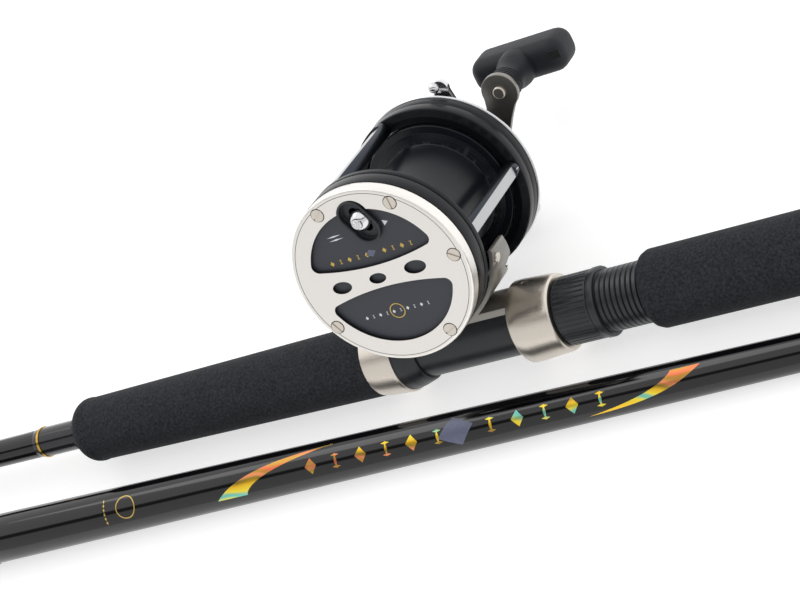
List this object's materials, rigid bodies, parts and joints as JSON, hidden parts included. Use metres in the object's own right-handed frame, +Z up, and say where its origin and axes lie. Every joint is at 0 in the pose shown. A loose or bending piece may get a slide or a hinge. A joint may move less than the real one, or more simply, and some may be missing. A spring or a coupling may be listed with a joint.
{
  "type": "fishing rod and reel",
  "caption": "Two-piece trolling rod taken apart, with a star drag reel on its handle section: cranked spool, free-spool lever, click button and a hooded screw reel seat.",
  "frame": {"origin": "middle of the butt cap's end face, on the handle section's axis", "axes": "+X along the handle section towards the butt, +Z up from the floor that both sections lie on; the reel leans 36 degrees towards +Y"},
  "size_m": [1.289, 0.1924, 0.1164],
  "materials": {
    "blank": "black glass-fibre blank under clear gloss varnish",
    "grip_foam": "moulded EVA foam, fine closed cells, matt",
    "butt_rubber": "moulded rubber, satin",
    "seat_graphite": "moulded graphite nylon, satin slate",
    "hood_steel": "polished stainless steel",
    "thread_wrap": "black nylon thread under epoxy",
    "gold_trim": "gold metallic trim",
    "winding_check": "black anodised aluminium",
    "ferrule": "turned nickel silver ferrule",
    "guide_frame": "polished stainless wire",
    "guide_ring": "dark oxide ceramic ring",
    "side_cap": "satin silver anodised aluminium",
    "window_plate": "slate enamel plate",
    "bright_chrome": "bright chrome plate",
    "clicker_chrome": "bright chrome plate",
    "frame_black": "black satin coated frame",
    "screws": "nickel plated brass screws",
    "pillars": "nickel plated brass bars",
    "stand": "dark nickel plated pressed steel",
    "inner_steel": "machined steel",
    "bearings": "ground steel",
    "spool": "black anodised turned spool",
    "spool_shaft": "ground steel",
    "gear_bronze": "cut bronze gear",
    "drag_washers": "fibre and steel drag washers",
    "star": "polished nickel star wheel",
    "handle_arm": "dark nickel plated handle",
    "knob": "moulded soft black grip"
  },
  "bodies": {
    "handle_section": {"handle_blank": "blank", "foregrip": "grip_foam", "winding_trim_ring": "gold_trim", "winding_check": "winding_check", "rear_grip": "grip_foam", "butt_cap": "butt_rubber", "seat_barrel": "seat_graphite", "seat_thread": "seat_graphite", "fixed_hood": "hood_steel", "hood_collar": "seat_graphite", "ferrule_sleeve": "ferrule", "stripper_frame": "guide_frame", "stripper_ring": "guide_ring", "handle_wraps": "thread_wrap", "left_side_cap": "side_cap", "window_plate": "window_plate", "clicker_escutcheon": "bright_chrome", "left_bearing_plate": "frame_black", "left_frame_ring": "frame_black", "right_frame_ring": "frame_black", "side_screws": "screws", "rear_pillar": "pillars", "top_pillar": "pillars", "front_pillar": "pillars", "lower_pillar": "pillars", "reel_stand": "stand", "small_screws": "screws", "right_housing": "frame_black", "right_rim": "bright_chrome", "bridge_plate": "inner_steel", "left_bearing": "bearings", "right_bearing": "bearings", "bearing_cap": "bright_chrome", "dog_pin": "inner_steel"},
    "reel_hood": {"moving_hood": "hood_steel"},
    "locking_nut": {"hood_nut": "seat_graphite"},
    "spool_body": {"spool": "spool", "spool_shaft": "spool_shaft", "click_gear": "gear_bronze"},
    "clicker": {"clicker_button": "clicker_chrome", "click_tongue": "inner_steel"},
    "pinion_body": {"pinion": "gear_bronze"},
    "yoke_body": {"yoke": "inner_steel"},
    "lever_body": {"free_spool_lever": "bright_chrome", "lever_cam": "inner_steel"},
    "crank": {"gear_sleeve": "inner_steel", "main_gear": "gear_bronze", "drag_washers": "drag_washers", "ratchet": "inner_steel", "handle_arm": "handle_arm", "handle_nut": "handle_arm", "knob_spindle": "handle_arm"},
    "star_drag": {"star_wheel": "star"},
    "handle_knob": {"knob_grip": "knob"},
    "reverse_dog": {"dog": "inner_steel"},
    "tip_section": {"tip_blank": "blank", "tip_guide_frames": "guide_frame", "tip_guide_rings": "guide_ring", "tip_wraps": "thread_wrap"}
  },
  "joints": [
    {"name": "crank_turn", "type": "hinge", "parent": "handle_section", "child": "crank", "pos_m": [-0.3356, 0.06775, -0.00542], "axis": [0, 0.809, -0.5878], "continuous": true},
    {"name": "spool_spin", "type": "hinge", "parent": "handle_section", "child": "spool_body", "pos_m": [-0.345, 0.03174, 0.04369], "axis": [0, 0.809, -0.5878], "continuous": true},
    {"name": "yoke_slide", "type": "slide", "parent": "handle_section", "child": "yoke_body", "axis": [0, 0.809, -0.5878], "range_m": [0, 0.0026]},
    {"name": "pinion_spin", "type": "hinge", "parent": "yoke_body", "child": "pinion_body", "pos_m": [-0.345, 0.05925, 0.0237], "axis": [0, 0.809, -0.5878], "continuous": true},
    {"name": "free_spool_turn", "type": "hinge", "parent": "handle_section", "child": "lever_body", "pos_m": [-0.3305, 0.07998, 0.03522], "axis": [0, 0.809, -0.5878], "range_deg": [0, 40]},
    {"name": "star_turn", "type": "hinge", "parent": "crank", "child": "star_drag", "pos_m": [-0.3356, 0.06209, -0.0013], "axis": [0, 0.809, -0.5878], "range_deg": [-150, 150]},
    {"name": "knob_spin", "type": "hinge", "parent": "crank", "child": "handle_knob", "pos_m": [-0.3144, 0.11532, 0.01411], "axis": [0, 0.809, -0.5878], "continuous": true},
    {"name": "dog_turn", "type": "hinge", "parent": "handle_section", "child": "reverse_dog", "pos_m": [-0.3535, 0.0444, 0.00668], "axis": [0, 0.809, -0.5878], "range_deg": [0, 12]},
    {"name": "clicker_slide", "type": "slide", "parent": "handle_section", "child": "clicker", "axis": [0.406, -0.5372, -0.7394], "range_m": [-0.0035, 0.0035]},
    {"name": "hood_slide", "type": "slide", "parent": "handle_section", "child": "reel_hood", "axis": [1, 0, 0], "range_m": [0, 0.012]},
    {"name": "nut_turn", "type": "hinge", "parent": "reel_hood", "child": "locking_nut", "pos_m": [-0.29, 0, 0], "axis": [1, 0, 0], "range_deg": [0, 1801]},
    {"name": "tip_lift", "type": "slide", "parent": "handle_section", "child": "tip_section", "axis": [0, 0, 1], "range_m": [0, 0.3]}
  ],
  "couplings": [
    {"joint": "spool_spin", "follows": "crank_turn", "ratio": -3},
    {"joint": "pinion_spin", "follows": "crank_turn", "ratio": -3},
    {"joint": "free_spool_turn", "follows": "yoke_slide", "rad_per_m": 268.5},
    {"joint": "nut_turn", "follows": "hood_slide", "rad_per_m": 2618}
  ]
}
